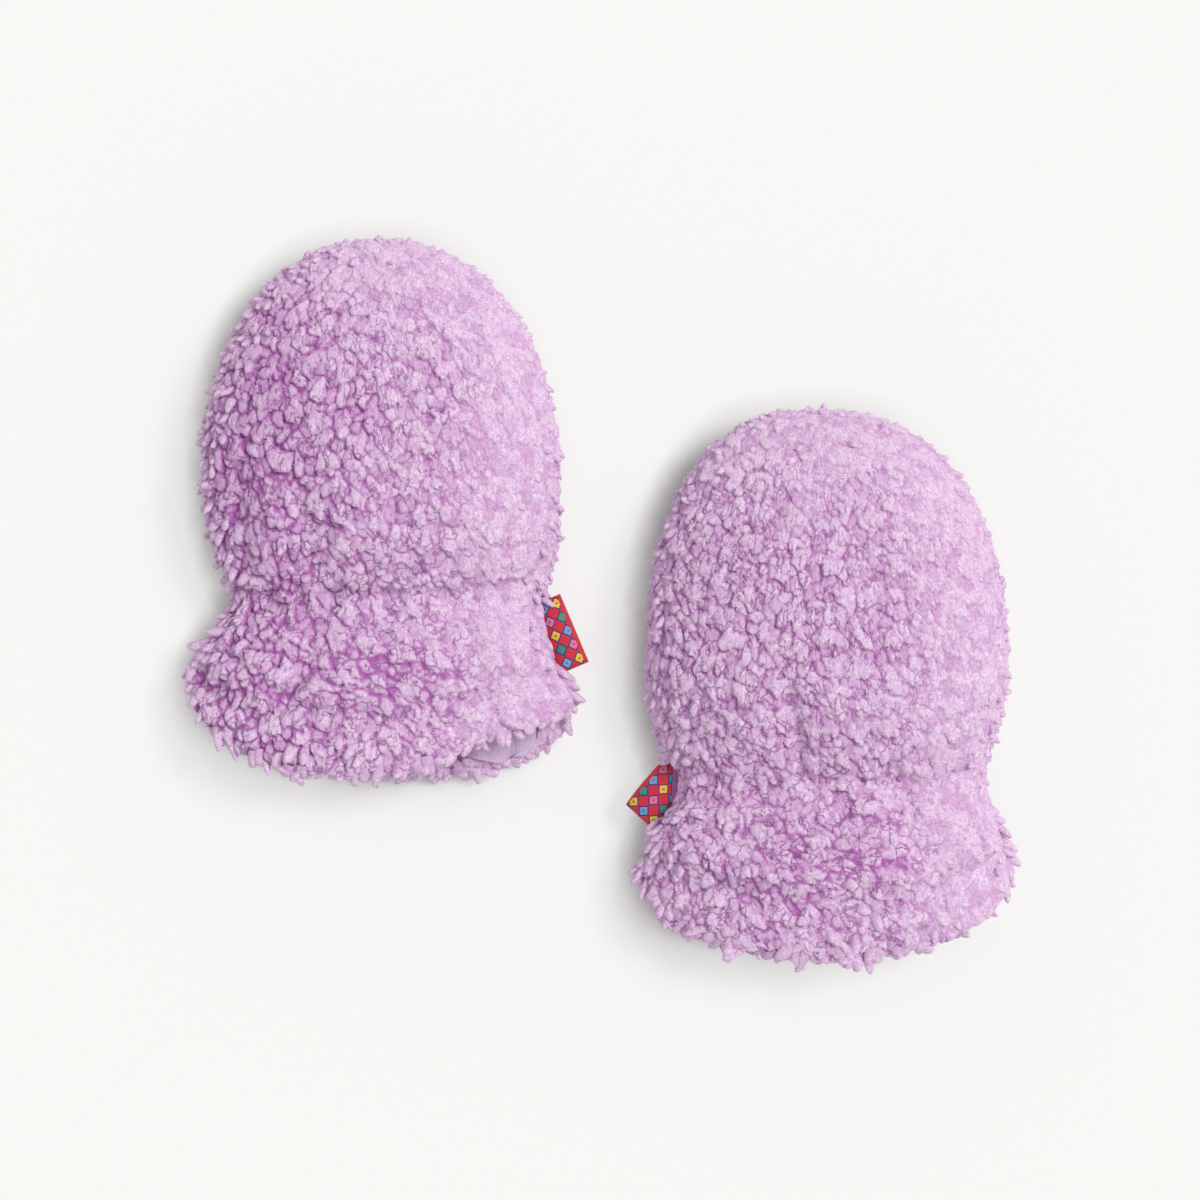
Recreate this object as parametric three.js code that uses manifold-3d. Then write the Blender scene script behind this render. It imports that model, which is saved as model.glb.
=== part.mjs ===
// A pair of thumbless baby mittens in curly pile fleece, lying palm down on a surface as laid out for a
// photograph. Millimetres. +Z is up from the surface, +Y runs from the cuffs to the fingertips, and the
// origin is on the surface under the middle of the pair. Each mitten is two fleece panels sewn round the
// edge, a gathered wrist, a turned cuff, a smooth lining sewn the same way, and a folded ribbon tab caught
// in the side seam.
import * as THREE from "three";
import { mergeVertices } from "three/addons/utils/BufferGeometryUtils.js";
import Module from "manifold-3d";

const wasm = await Module();
wasm.setup();

// Cloth
const FLEECE = 7; // backing and pile together
const LINING = 1;
const SEAM_GAP = 0.3; // between pieces that are sewn together
const LINING_GAP = 0.6; // between the fleece and the lining that lies along it
const LINING_STOPS = 2.5; // the lining ends this far inside the cuff's edge
const UNDER_FLAT = 0.86; // share of the sine at which the underside becomes flat
const UNDER_POWER = 1.5; // how quickly it gets there
const TOP_POWER = 0.9; // under 1 gives the top a fuller section than an ellipse
const UNDER_DOME = 24; // the underside comes down to the surface this far from the fingertips
const HEIGHT_DOME = 46; // the top reaches its full height this far from the fingertips
const GATHER_COUNT = 7; // gathers that the wrist elastic makes across a panel
const GATHER_DEPTH = 1.1;
const GATHER_REACH = 9; // they fade out this far either side of the wrist
const CREASE_DEPTH = 2.4; // the trough along the cuff's hem stitching
const CREASE_WIDTH = 3.8;
const SEAM_FADE = 0.35; // gathers, crease and folds fade out over this share of the sine at a side seam
const WRIST_LIFT = 2.5; // the elastic lifts the underside off the surface here
const LIFT_REACH = 6;
const SAME_POINT = 1e-4; // corners closer than this are one

// Rows and columns of faces on the fleece's outer side, and on its inner side and the lining that lies
// along it
const OUTSIDE = { dome: 9, cuff: 16, across: 28 };
const INSIDE = { dome: 5, cuff: 8, across: 14 };
const EDGE_STEPS = 3;

// The ribbon tab: its size, the ribbon's thickness, the gap inside its fold and the clearance of its slot
const TAB = { width: 18.5, depth: 13, ribbon: 0.6, fold: 0.35, slot: 0.4, steps: 8, foldSteps: 4 };

// Each mitten's own sizes. Rows run from its widest row to the cuff's edge. along is the distance from the
// fingertips to the middle of a row, bow is how much nearer to them its two ends lie, half is its half
// width at the side seams, shift moves it sideways, crown is its height and seam the height of its side
// seams. The hem's tilt lowers its right end and raises its left one, skew does so for one panel between
// its seams, and reach makes that panel longer. A gape draws the back's hem up by depth round a place across
// it, so that the lining shows below. A fold is a soft trough round a point. Places across are shares of the
// half width, and a fold's lean is in degrees. A tab's x and y are the middle of its folded edge, turn is the
// way it points, and twist turns its far corner up or down.
const MITTENS = [
  {
    name: "left",
    place: { x: -55.5, y: 90.75 },
    tip: { shift: -0.5, dome: 60, power: 2.15 },
    wrist: 92,
    crease: 120.5,
    rows: [
      { along: 60, half: 44.5, shift: 0, bow: 0, crown: 38, seam: 15 },
      { along: 75, half: 43.5, shift: 1, bow: 1, crown: 36, seam: 14.5 },
      { along: 85, half: 41, shift: 1.5, bow: 2, crown: 31, seam: 13.5 },
      { along: 92, half: 39.5, shift: 2.5, bow: 3, crown: 27, seam: 12.5 },
      { along: 101, half: 41.5, shift: 1.5, bow: 6, crown: 31, seam: 13 },
      { along: 112, half: 44, shift: 0.5, bow: 11, crown: 33.5, seam: 13.5 },
      { along: 122, half: 46.5, shift: -0.8, bow: 15.5, crown: 31.5, seam: 13.5 },
      { along: 131, half: 48, shift: 0, bow: 19, crown: 29, seam: 13 },
    ],
    hem: { tilt: 2.5, topSkew: -6, underSkew: 1, topReach: -0.8, underReach: -0.3 },
    gape: { across: 0.64, width: 0.3, depth: 4.5 },
    folds: [
      { across: -0.42, along: 72, length: 34, width: 5, depth: 2.4, lean: 8 },
      { across: -0.78, along: 66, length: 22, width: 4, depth: 1.8, lean: -4 },
      { across: 0.14, along: 72, length: 14, width: 4, depth: 1.2, lean: 14 },
      { across: -0.5, along: 108, length: 18, width: 4.5, depth: 2.0, lean: -28 },
      { across: 0.5, along: 108, length: 16, width: 4.5, depth: 1.6, lean: 20 },
      { across: 0.02, along: 110, length: 8, width: 16, depth: 1.2, lean: 0 },
    ],
    tab: { x: 48.5, y: -97, turn: 23, twist: 0 },
  },
  {
    name: "right",
    place: { x: 56, y: 48 },
    tip: { shift: -2, dome: 66, power: 2.4 },
    wrist: 95,
    crease: 122,
    rows: [
      { along: 66, half: 45, shift: 0, bow: 0, crown: 38, seam: 15 },
      { along: 77, half: 43.5, shift: -0.3, bow: 1, crown: 36, seam: 14.5 },
      { along: 87, half: 41, shift: 0, bow: 2, crown: 31.5, seam: 13.5 },
      { along: 95, half: 39.5, shift: 0.4, bow: 3, crown: 27.5, seam: 12.5 },
      { along: 104, half: 41, shift: 0, bow: 6, crown: 31, seam: 13 },
      { along: 114, half: 43.5, shift: 0, bow: 10, crown: 34, seam: 13.5 },
      { along: 124, half: 45.5, shift: 0, bow: 14.5, crown: 31.5, seam: 13.5 },
      { along: 132.5, half: 46.5, shift: -0.2, bow: 17.5, crown: 29, seam: 13 },
    ],
    hem: { tilt: -1, topSkew: 0.5, underSkew: 0, topReach: 0.5, underReach: -1.5 },
    gape: { across: 0, width: 1, depth: 0 },
    folds: [
      { across: -0.22, along: 78, length: 26, width: 5, depth: 2.4, lean: 14 },
      { across: 0.62, along: 68, length: 24, width: 4.5, depth: 1.6, lean: -6 },
      { across: 0.22, along: 40, length: 20, width: 4, depth: 1.2, lean: 24 },
      { across: -0.6, along: 112, length: 16, width: 4.5, depth: 1.8, lean: -34 },
      { across: 0.62, along: 113, length: 20, width: 4.5, depth: 2.0, lean: 26 },
      { across: 0.05, along: 112, length: 8, width: 16, depth: 1.2, lean: 0 },
    ],
    tab: { x: -44.5, y: -91.3, turn: 138, twist: -20 },
  },
];

const MATERIALS = {
  fleece: new THREE.MeshStandardMaterial({ color: 0xd0a6d2, roughness: 0.95, metalness: 0 }),
  lining: new THREE.MeshStandardMaterial({ color: 0xb39fc4, roughness: 0.9, metalness: 0 }),
  ribbon: new THREE.MeshStandardMaterial({ color: 0xd3202a, roughness: 0.6, metalness: 0 }),
};

const clamp01 = (t) => Math.min(1, Math.max(0, t));

// A column of a mitten's rows at a distance from the fingertips, on a smooth curve through the rows.
function column(rows, name, along) {
  const last = rows.length - 1;
  if (along <= rows[0].along) return rows[0][name];
  if (along >= rows[last].along) return rows[last][name];
  const i = rows.findIndex((row) => row.along > along) - 1;
  const span = rows[i + 1].along - rows[i].along;
  const slope = (k) => {
    const before = rows[Math.max(0, k - 1)];
    const after = rows[Math.min(last, k + 1)];
    return k === 0 ? 0 : (after[name] - before[name]) / (after.along - before.along);
  };
  const t = (along - rows[i].along) / span;
  const [p, q] = [rows[i][name], rows[i + 1][name]];
  const [m, n] = [slope(i) * span, slope(i + 1) * span];
  return (
    p * (1 + 2 * t) * (1 - t) ** 2 +
    m * t * (1 - t) ** 2 +
    q * t * t * (3 - 2 * t) +
    n * t * t * (t - 1)
  );
}

// How far a dome has opened, from 0 at its tip to 1 at its reach.
const opened = (share, power) => (1 - (1 - clamp01(share)) ** power) ** (1 / power);

// A row's sizes on a surface that lies inset millimetres inside the mitten's outer one.
function rowSizes(mitten, along, inset) {
  const { tip, rows } = mitten;
  const at = (name) => column(rows, name, along);
  const share = (reach) => (along - inset) / (reach - inset);
  const wide = along < tip.dome ? opened(share(tip.dome), tip.power) : 1;
  const high = along < HEIGHT_DOME ? opened(share(HEIGHT_DOME), 2) : 1;
  const low = along < UNDER_DOME ? opened(share(UNDER_DOME), 2) : 1;
  const lift = WRIST_LIFT * Math.exp(-(((along - mitten.wrist) / LIFT_REACH) ** 2));
  return {
    half: (at("half") - inset) * wide,
    shift: at("shift") + tip.shift * (1 - clamp01(along / tip.dome)) ** 3,
    bow: at("bow"),
    seam: at("seam"),
    rise: (at("crown") - inset - at("seam")) * high,
    drop: (at("seam") - inset - lift) * low,
  };
}

// A point of the mitten. turn runs from 0 at one side seam to pi at the other, over the top or under the
// palm.
function formPoint(mitten, side, along, turn, inset) {
  const r = rowSizes(mitten, along, inset);
  const sine = Math.sin(turn);
  const cuff = clamp01((along - mitten.wrist) / (mitten.rows.at(-1).along - mitten.wrist));
  const { tilt, topSkew, underSkew, topReach, underReach } = mitten.hem;
  const [skew, reach] = side === "top" ? [topSkew, topReach] : [underSkew, underReach];
  const { across, width, depth } = mitten.gape;
  const gape = side === "top" ? depth * Math.exp(-(((Math.cos(turn) - across) / width) ** 2)) : 0;
  const slant = cuff * (tilt * Math.cos(turn) + sine * (skew * Math.cos(turn) + reach) - gape);
  const under = 1 - (1 - clamp01(sine / UNDER_FLAT)) ** UNDER_POWER;
  return new THREE.Vector3(
    r.shift + r.half * Math.cos(turn),
    -(along - r.bow + r.bow * sine + slant),
    side === "top"
      ? r.seam + SEAM_GAP / 2 + r.rise * sine ** TOP_POWER
      : r.seam - SEAM_GAP / 2 - (r.drop - SEAM_GAP / 2) * under,
  );
}

// How deep the gathers, the hem crease and the folds press into the pile at a point.
function relief(mitten, side, along, turn) {
  const sine = Math.sin(turn);
  const fade = clamp01(sine / SEAM_FADE);
  const near = Math.exp(-(((along - mitten.wrist) / GATHER_REACH) ** 2));
  const gathers = (GATHER_DEPTH * near * (1 - Math.cos(2 * GATHER_COUNT * turn))) / 2;
  if (side !== "top") return fade * gathers;
  const crease = CREASE_DEPTH * Math.exp(-(((along - mitten.crease) / CREASE_WIDTH) ** 2));
  const half = rowSizes(mitten, along, 0).half;
  let folds = 0;
  for (const fold of mitten.folds) {
    const lean = THREE.MathUtils.degToRad(fold.lean);
    const across = half * (Math.cos(turn) - fold.across);
    const down = along - fold.along;
    const beside = across * Math.cos(lean) - down * Math.sin(lean);
    const beyond = across * Math.sin(lean) + down * Math.cos(lean);
    folds += fold.depth * Math.exp(-((beside / fold.width) ** 2) - ((2 * beyond) / fold.length) ** 2);
  }
  return fade * (gathers + crease + folds);
}

// The distances of a surface's rows: close together where the dome closes, even from there to the first of
// its stops, and one for each stop after that.
function rowDistances(mitten, detail, inset, [stop, ...more]) {
  const distances = [];
  for (let i = 0; i <= detail.dome; i++) {
    const angle = (i / detail.dome) * (Math.PI / 2);
    distances.push(inset + (mitten.tip.dome - inset) * (1 - Math.cos(angle)));
  }
  for (let i = 1; i <= detail.cuff; i++) {
    distances.push(mitten.tip.dome + ((stop - mitten.tip.dome) * i) / detail.cuff);
  }
  return [...distances, ...more];
}

// Rows of points over one side of the mitten. Where the pile shows, each point is pressed in by the relief
// there.
function surface(mitten, side, detail, inset, stops, pressed) {
  return rowDistances(mitten, detail, inset, stops).map((along) =>
    Array.from({ length: detail.across + 1 }, (_, j) => {
      const turn = (Math.PI * j) / detail.across;
      const point = formPoint(mitten, side, along, turn, inset);
      if (!pressed) return point;
      const inwards = formPoint(mitten, side, along, turn, inset + 1).sub(point).normalize();
      return point.addScaledVector(inwards, relief(mitten, side, along, turn));
    }),
  );
}

// A closed wall between an outer and an inner surface of one side, with a rounded edge at the cuff.
function wall(outer, inner, facesUp) {
  const [before, from] = outer.slice(-2);
  const to = inner.at(-1);
  const steps = (from.length - 1) / (to.length - 1);
  const edge = [];
  for (let k = 1; k <= EDGE_STEPS; k++) {
    const angle = (Math.PI * k) / (EDGE_STEPS + 1);
    edge.push(
      to.map((far, j) => {
        const near = from[j * steps];
        const middle = near.clone().add(far).multiplyScalar(0.5);
        const ahead = near.clone().sub(before[j * steps]).setZ(0).normalize();
        return middle
          .clone()
          .addScaledVector(near.clone().sub(middle), Math.cos(angle))
          .addScaledVector(ahead, (Math.sin(angle) * near.distanceTo(far)) / 2);
      }),
    );
  }
  return closeRows([...outer, ...edge, ...inner.toReversed()], facesUp);
}

// Faces over a run of rows that goes out along one surface and back along the other, and over its two seam
// ends.
function closeRows(rows, facesUp) {
  const points = rows.flat();
  const faces = [];
  const apart = (a, b) => points[a].distanceTo(points[b]) > SAME_POINT;
  const face = (a, b, c) => {
    if (apart(a, b) && apart(b, c) && apart(c, a)) faces.push(...(facesUp ? [a, b, c] : [a, c, b]));
  };
  let first = 0;
  const places = rows.map((row) => {
    first += row.length;
    return row.map((_, j) => first - row.length + j);
  });
  for (let i = 0; i + 1 < rows.length; i++) {
    const [near, far] = [places[i], places[i + 1]];
    let [j, k] = [0, 0];
    while (j + 1 < near.length || k + 1 < far.length) {
      if ((j + 1) / (near.length - 1) <= (k + 1) / (far.length - 1)) {
        face(near[j], near[j + 1], far[k]);
        j++;
      } else {
        face(near[j], far[k + 1], far[k]);
        k++;
      }
    }
  }
  for (const seamEnd of [0, -1]) {
    const outline = places.map((row) => row.at(seamEnd));
    const flat = outline.map((place) => new THREE.Vector2(points[place].x, points[place].y));
    for (const corners of THREE.ShapeUtils.triangulateShape(flat, [])) {
      const [p, q, r] = corners.map((k) => outline[k]);
      const clockwise = THREE.ShapeUtils.area(corners.map((k) => flat[k])) < 0;
      if (clockwise) face(p, q, r);
      else face(p, r, q);
    }
  }
  const geometry = new THREE.BufferGeometry().setFromPoints(points);
  geometry.setIndex(faces);
  return plain(geometry);
}

// The folded ribbon of a tab, out of its side seam. grow thickens it all round, to cut the slot that it
// passes through.
function tabGeometry(mitten, grow) {
  const { tab } = mitten;
  const outwards = THREE.MathUtils.degToRad(tab.turn);
  const out = new THREE.Vector3(Math.cos(outwards), Math.sin(outwards), 0);
  const along = new THREE.Vector3(Math.sin(outwards), -Math.cos(outwards), 0);
  if (out.x < 0) along.negate();
  const height = rowSizes(mitten, -tab.y, 0).seam;
  const gap = TAB.fold / 2;
  const layer = gap + TAB.ribbon + grow;
  const bend = TAB.depth - gap - TAB.ribbon; // where the fold begins
  // The hairpin section, seen from the ribbon's edge: u is outwards and w is up.
  const section = [[0, -layer]];
  for (let k = 0; k <= TAB.foldSteps; k++) {
    const angle = -Math.PI / 2 + (Math.PI * k) / TAB.foldSteps;
    section.push([bend + layer * Math.cos(angle), layer * Math.sin(angle)]);
  }
  section.push([0, layer]);
  if (!grow) section.push([0, gap], [bend, gap], [bend, -gap], [0, -gap]);
  const rings = [];
  for (let i = 0; i <= TAB.steps; i++) {
    const share = i / TAB.steps;
    const twist = THREE.MathUtils.degToRad(tab.twist * share ** 2);
    const at = (share - 0.5) * (TAB.width + 2 * grow);
    rings.push(
      section.map(([u, w]) => {
        const [reach, rise] = [
          u * Math.cos(twist) - w * Math.sin(twist),
          u * Math.sin(twist) + w * Math.cos(twist),
        ];
        return new THREE.Vector3(tab.x, tab.y, height)
          .addScaledVector(out, reach - TAB.depth)
          .addScaledVector(along, at)
          .add(new THREE.Vector3(0, 0, rise));
      }),
    );
  }
  return sweptRings(rings, section, out.x < 0);
}

// What lies inside the fleece at its seams, as an upright block: a tab ends where the lining begins.
function hollowPrism(mitten, hem) {
  const distances = rowDistances(mitten, INSIDE, FLEECE, [hem]);
  const [right, left] = [0, Math.PI].map((turn) =>
    distances.map((along) => formPoint(mitten, "top", along, turn, FLEECE)),
  );
  const outline = [...right, ...left.toReversed().slice(0, -1)].map(({ x, y }) => new THREE.Vector2(x, y));
  const depth = mitten.rows[0].crown;
  return plain(new THREE.ExtrudeGeometry(new THREE.Shape(outline), { depth, bevelEnabled: false }));
}

// A closed body through a run of rings that all have one outline.
function sweptRings(rings, outline, turned) {
  const count = outline.length;
  const caps = THREE.ShapeUtils.triangulateShape(outline.map(([u, w]) => new THREE.Vector2(u, w)), []);
  const faces = [];
  const face = (a, b, c) => faces.push(...(turned ? [a, c, b] : [a, b, c]));
  for (let i = 0; i + 1 < rings.length; i++) {
    for (let k = 0; k < count; k++) {
      const [a, b] = [i * count + k, i * count + ((k + 1) % count)];
      face(a, b, b + count);
      face(a, b + count, a + count);
    }
  }
  const end = (rings.length - 1) * count;
  for (const [a, b, c] of caps) {
    face(c, b, a);
    face(end + a, end + b, end + c);
  }
  const geometry = new THREE.BufferGeometry().setFromPoints(rings.flat());
  geometry.setIndex(faces);
  return plain(geometry);
}

// A geometry with nothing but its shape, its corners merged.
function plain(geometry) {
  geometry.deleteAttribute("normal");
  geometry.deleteAttribute("uv");
  return mergeVertices(geometry, SAME_POINT);
}

function toSolid(geometry) {
  return new wasm.Manifold(
    new wasm.Mesh({
      numProp: 3,
      vertProperties: new Float32Array(geometry.attributes.position.array),
      triVerts: new Uint32Array(geometry.index.array),
    }),
  );
}

// What is left of a solid without the crumbs that a cut leaves.
const largestBody = (solid) => solid.decompose().sort((a, b) => b.volume() - a.volume())[0];

function toGeometry(solid) {
  const { vertProperties, triVerts } = solid.getMesh();
  const geometry = new THREE.BufferGeometry();
  geometry.setAttribute("position", new THREE.BufferAttribute(new Float32Array(vertProperties), 3));
  geometry.setIndex(new THREE.BufferAttribute(new Uint32Array(triVerts), 1));
  return geometry;
}

function named(name, geometry, material) {
  geometry.computeVertexNormals();
  const mesh = new THREE.Mesh(geometry, material);
  mesh.name = name;
  return mesh;
}

function buildMitten(mitten) {
  const group = new THREE.Group();
  const hem = mitten.rows.at(-1).along;
  const liningHem = hem - LINING_STOPS;
  const slot = toSolid(tabGeometry(mitten, TAB.slot));
  const tab = largestBody(toSolid(tabGeometry(mitten, 0)).subtract(toSolid(hollowPrism(mitten, hem))));
  group.add(named(`${mitten.name}_side_tab`, toGeometry(tab), MATERIALS.ribbon));
  for (const [side, word] of [["top", "back"], ["under", "palm"]]) {
    const inside = (inset, ...stops) => surface(mitten, side, INSIDE, inset, stops, false);
    const sheet = (outer, inner) => wall(outer, inner, side === "top");
    const pile = surface(mitten, side, OUTSIDE, 0, [hem], true);
    const backing = inside(FLEECE, liningHem, hem);
    const fleece = largestBody(toSolid(sheet(pile, backing)).subtract(slot));
    group.add(named(`${mitten.name}_${word}_panel`, toGeometry(fleece), MATERIALS.fleece));
    const within = FLEECE + LINING_GAP;
    const lining = sheet(inside(within, liningHem), inside(within + LINING, liningHem));
    group.add(named(`${mitten.name}_${word}_lining`, lining, MATERIALS.lining));
  }
  group.position.set(mitten.place.x, mitten.place.y, 0);
  return group;
}

const pair = new THREE.Group();
for (const mitten of MITTENS) pair.add(buildMitten(mitten));

// The origin goes under the middle of the pair.
const box = new THREE.Box3().setFromObject(pair, true);
const middle = box.getCenter(new THREE.Vector3());
for (const group of pair.children) group.position.add(new THREE.Vector3(-middle.x, -middle.y, -box.min.z));

export default pair;
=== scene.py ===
"""A pair of thumbless baby mittens in curly pile fleece, lying palm down on a pale surface.

Each mitten has a back and a palm of fleece, each with its pile as separate tufts, a smooth jersey lining
behind them, and a folded ribbon tab in its side seam. Sizes in the tables are in millimetres.
"""

import math

import bpy
import numpy as np
from bpy.props import FloatProperty, FloatVectorProperty, PointerProperty
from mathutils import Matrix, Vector
from mathutils.bvhtree import BVHTree
from mathutils.kdtree import KDTree


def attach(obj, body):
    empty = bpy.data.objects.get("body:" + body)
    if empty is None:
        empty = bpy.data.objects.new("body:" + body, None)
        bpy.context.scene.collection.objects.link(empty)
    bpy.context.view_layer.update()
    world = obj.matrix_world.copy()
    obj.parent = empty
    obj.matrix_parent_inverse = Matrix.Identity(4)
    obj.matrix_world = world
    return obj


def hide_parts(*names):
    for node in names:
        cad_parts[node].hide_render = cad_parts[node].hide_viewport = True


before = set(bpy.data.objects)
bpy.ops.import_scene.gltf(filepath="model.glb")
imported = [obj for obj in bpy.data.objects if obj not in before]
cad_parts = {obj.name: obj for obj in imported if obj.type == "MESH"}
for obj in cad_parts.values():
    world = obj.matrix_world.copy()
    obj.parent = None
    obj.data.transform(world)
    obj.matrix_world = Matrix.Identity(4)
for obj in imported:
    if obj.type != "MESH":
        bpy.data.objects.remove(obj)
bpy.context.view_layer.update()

bl_info = {
    "name": "Pair of baby mittens",
    "version": (1, 0, 0),
    "blender": (4, 5, 0),
    "location": "View3D > Sidebar > Mittens",
    "description": "Builds a pair of pile fleece baby mittens around their packed solids",
    "category": "Object",
}

MM = 0.001
BODY = "root"

# Each mitten: where its fingertips are, how far from them the wrist, the hem crease and the hem lie, and its
# tab. A tab's middle is the middle of its folded edge and turn is the way it points. The pile is kept short
# in the bare places, which are given by their middles and how far they reach. Where a mouth gapes, its middle
# and half sizes say how much of the palm's lining shows, and a few locks hang over it, each from its root to
# its tip and so wide.
MITTENS = {
    "left": {
        "fingertips": (-54.9, 89.6),
        "wrist": 92.0,
        "crease": 120.5,
        "hem": 131.0,
        "tab": {"middle": (-6.4, -7.4, 12.7), "turn": 23.0},
        "bare": ((-12.8, -9.0, 14.0, 8.0),),
        # How much more the pile is parted on the shaded left, with deeper shade painted into its creases, and how
        # much darker the hand's upper left is painted, as painted shade
        "parted_and_shaded": 0.5,
        "mouth": (-25.0, -31.0, 9.0, 7.8),
        "hanging": (
            ((-25.3, -32.2, 25.0), (-23.3, -36.6, 24.0), 3.0),
            ((-23.5, -29.9, 26.0), (-18.3, -32.5, 25.5), 2.8),
            ((-30.0, -33.2, 24.0), (-30.6, -37.4, 21.0), 3.2),
        ),
    },
    "right": {
        "fingertips": (56.6, 46.9),
        "wrist": 95.0,
        "crease": 122.0,
        "hem": 132.5,
        "tab": {"middle": (12.1, -44.4, 12.7), "turn": 138.0},
        "bare": ((16.5, -48.5, 14.0, 7.0),),
        "parted_and_shaded": 0.0,
        "mouth": None,
        "hanging": (),
    },
}

# The folds that the fleece lies in, for each mitten: how deep, how wide, and the points of the fold, all in
# millimetres seen from above
FOLDS = {
    "left": (
        (1.3, 1.4, (-77.5, 14.6), (-75.5, 6.0), (-74.3, -0.5)),
        (1.0, 1.2, (-90.5, 29.6), (-90.3, 19.6)),
        (0.9, 1.3, (-52.5, 27.0), (-50.5, 21.5)),
        (1.3, 1.5, (-71.2, -12.9), (-75.0, -20.0), (-77.5, -25.4)),
        (0.9, 1.3, (-89.1, 2.6), (-79.2, -2.3), (-63.6, 1.2), (-46.7, 0.5), (-31.1, 1.9), (-16.9, 4.1)),
        (0.7, 1.4, (-91.0, -15.4), (-72.5, -27.9), (-50.0, -30.4), (-32.5, -31.6)),
    ),
    "right": (
        (1.4, 1.5, (46.2, -22.9), (48.0, -32.0), (50.0, -42.9)),
        (1.0, 1.4, (72.5, -41.5), (75.0, -46.5)),
        (1.0, 1.3, (18.4, -40.6), (34.0, -48.6), (48.1, -44.8), (67.9, -45.5), (84.9, -46.2), (92.0, -42.6)),
        (0.7, 1.4, (20.0, -65.4), (37.5, -74.1), (57.5, -79.1), (80.0, -72.9), (100.0, -65.4)),
    ),
}

FAN_RISE = 60.0  # the pile fans out from a point this far above the fingertips
LOCK_STRETCH = 1.6  # how much longer than wide a lock of the pile is
CREASE = 0.46
NEIGHBOURS = 8
SEAM_GAP = 0.5  # how far apart the panels' edges lie in the side seam, at most
REST = 0.6  # pile that lies on the surface is pressed flat below this height
TRIANGLES_AT_MOST = 199000

# The rings of a long lock: how far along it and how wide, as shares
FINGER_RINGS = ((-0.35, 0.8), (0.0, 1.0), (0.4, 0.96), (0.74, 0.74), (0.94, 0.42))
FINGER_SIDES = 6


def linear(red, green, blue):
    """A colour as a screen shows it, 0 to 255, as the linear colour that a shader takes."""
    shares = [c / 255 for c in (red, green, blue)]
    return tuple(c / 12.92 if c <= 0.04045 else ((c + 0.055) / 1.055) ** 2.4 for c in shares)


# The ribbon's diamonds, in millimetres: how far apart across and along it, and their colours in turn
DIAMOND_PITCH = (3.7, 3.4)
DIAMOND_COLOURS = (linear(250, 214, 66), linear(238, 130, 178), linear(112, 178, 232), linear(36, 160, 148))
DIAMOND_BORDER = linear(44, 30, 122)
FOLD_EDGE = 1.0
RIB = 0.5


class FleeceSettings(bpy.types.PropertyGroup):
    """The fleece and its pile."""

    spacing: FloatProperty(
        name="Lock spacing",
        description="The least distance between two locks of the pile",
        default=2.05 * MM,
        min=1.5 * MM,
        max=6 * MM,
        unit="LENGTH",
    )
    detail: FloatProperty(
        name="Detail",
        description="The longest side of a triangle of the pile",
        default=0.84 * MM,
        min=0.6 * MM,
        max=3 * MM,
        unit="LENGTH",
    )
    clump: FloatProperty(
        name="Clump size",
        description="The distance between the middles of two clumps of locks",
        default=5.6 * MM,
        min=2 * MM,
        max=20 * MM,
        unit="LENGTH",
    )
    tip_colour: FloatVectorProperty(
        name="Tip colour",
        description="The colour of the pile at its tips",
        default=linear(240, 214, 240),
        size=3,
        min=0,
        max=1,
        subtype="COLOR",
    )
    fibre_colour: FloatVectorProperty(
        name="Fibre colour",
        description="The colour of the fibres between the tips",
        default=linear(200, 150, 201),
        size=3,
        min=0,
        max=1,
        subtype="COLOR",
    )
    # Painted shade: the deep purple painted down into the creases, at the clumps' borders and on the backing, where
    # shade falls
    crease_shade_colour: FloatVectorProperty(
        name="Root colour",
        description="The colour of the pile at its roots",
        default=linear(184, 106, 184),
        size=3,
        min=0,
        max=1,
        subtype="COLOR",
    )


class LiningSettings(bpy.types.PropertyGroup):
    """The jersey lining."""

    colour: FloatVectorProperty(
        name="Colour",
        description="The colour of the jersey",
        default=linear(230, 204, 236),
        size=3,
        min=0,
        max=1,
        subtype="COLOR",
    )
    stitch: FloatProperty(
        name="Stitch",
        description="The width of one knit stitch",
        default=0.7 * MM,
        min=0.2 * MM,
        max=3 * MM,
        unit="LENGTH",
    )


class TabSettings(bpy.types.PropertyGroup):
    """The ribbon tabs in the side seams."""

    width: FloatProperty(
        name="Width",
        description="The width of a tab along its folded edge",
        default=18.5 * MM,
        min=5 * MM,
        max=40 * MM,
        unit="LENGTH",
    )
    depth: FloatProperty(
        name="Depth",
        description="From the folded edge to the ends in the seam",
        default=13 * MM,
        min=5 * MM,
        max=30 * MM,
        unit="LENGTH",
    )
    ground: FloatVectorProperty(
        name="Ground colour",
        description="The colour that most of the ribbon has",
        default=linear(224, 38, 56),
        size=3,
        min=0,
        max=1,
        subtype="COLOR",
    )


class StudioSettings(bpy.types.PropertyGroup):
    """The floor, the light and the camera."""

    floor_colour: FloatVectorProperty(
        name="Floor colour",
        description="The colour of the surface that the mittens lie on",
        default=linear(140, 140, 139),
        size=3,
        min=0,
        max=1,
        subtype="COLOR",
    )
    floor_glow: FloatProperty(
        name="Floor glow",
        description="The light that the floor gives, as of a light table, which softens its shadows",
        default=0.665,
        min=0,
        max=2,
    )
    key: FloatProperty(
        name="Key light",
        description="The strength of the soft light from the upper right",
        default=1.76,
        min=0,
        max=20,
    )
    fill: FloatProperty(
        name="Fill light",
        description="The strength of the light from all round",
        default=0.6,
        min=0,
        max=5,
    )
    lens: FloatProperty(
        name="Lens",
        description="The camera's focal length",
        default=120,
        min=20,
        max=400,
        subtype="DISTANCE_CAMERA",
    )
    frame_width: FloatProperty(
        name="Picture width",
        description="The width that the picture takes in at the middle of the mittens' height",
        default=300 * MM,
        min=50 * MM,
        max=3,
        unit="LENGTH",
    )


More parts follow.
